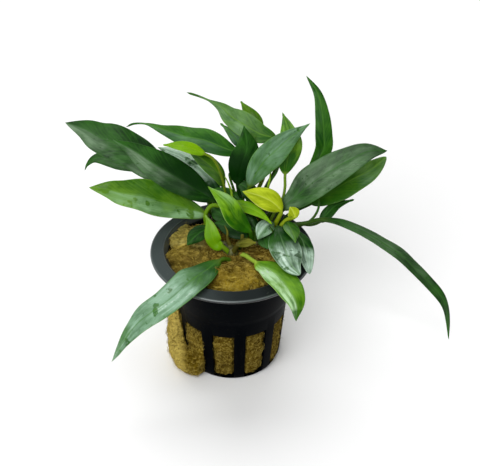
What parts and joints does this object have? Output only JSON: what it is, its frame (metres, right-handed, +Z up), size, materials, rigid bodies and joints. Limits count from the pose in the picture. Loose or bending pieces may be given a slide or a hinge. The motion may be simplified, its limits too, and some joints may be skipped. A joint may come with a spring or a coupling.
{
  "type": "potted aquatic plant",
  "caption": "Small anubias water plant with lance-shaped leaves, growing in mineral wool in a slotted black net pot.",
  "frame": {"origin": "middle of the net pot's underside, on the surface that it stands on", "axes": "+Z up along the pot's axis, -Y towards the front, which is the side that the picture shows, +X to the plant's right as seen from the front"},
  "size_m": [0.133, 0.0758, 0.0915],
  "materials": {
    "pot": "satin black moulded plastic",
    "wool": "matte wet fibres, golden brown",
    "rhizome": "satin brown green bark",
    "leaf": "waxy deep green, wet sheen",
    "young_leaf": "waxy yellow green, wet sheen"
  },
  "bodies": {
    "root": {"net_pot": "pot", "wool_body": "wool", "wool_fold": "wool", "wool_lump_rear_left": "wool", "wool_lump_left": "wool", "wool_lump_front": "wool", "wool_lump_right": "wool", "rhizome_left": "rhizome", "rhizome_rear": "rhizome", "rhizome_right": "rhizome", "rhizome_front": "rhizome", "leaf_left_wide": "leaf", "leaf_left_over": "leaf", "leaf_left_behind": "leaf", "leaf_left_low": "leaf", "leaf_upper_left": "leaf", "leaf_young_left": "young_leaf", "leaf_left_glossy": "leaf", "leaf_left_inner": "leaf", "leaf_top_long": "leaf", "leaf_top_small": "leaf", "leaf_top_narrow": "leaf", "leaf_middle_dark": "leaf", "leaf_middle_right": "leaf", "leaf_right_behind": "leaf", "leaf_tall": "leaf", "leaf_right_wide": "leaf", "leaf_right_under": "leaf", "leaf_right_small": "leaf", "leaf_drooping": "leaf", "leaf_young_centre": "young_leaf", "leaf_young_behind": "young_leaf", "leaf_yellow": "young_leaf", "leaf_young_small": "young_leaf", "leaf_young_tiny": "young_leaf", "leaf_front_left": "leaf", "leaf_front_right": "young_leaf", "leaf_inner_dark": "leaf", "leaf_hanging_wide": "leaf", "leaf_hanging_narrow": "leaf", "leaf_hanging_right": "leaf", "leaf_dark_left": "leaf", "leaf_dark_centre": "leaf", "leaf_olive_small": "leaf", "leaf_crown_right": "leaf", "leaf_crown_low": "leaf", "leaf_rear_left": "leaf", "leaf_rear_middle": "leaf", "leaf_rear_right": "leaf"}
  },
  "joints": []
}
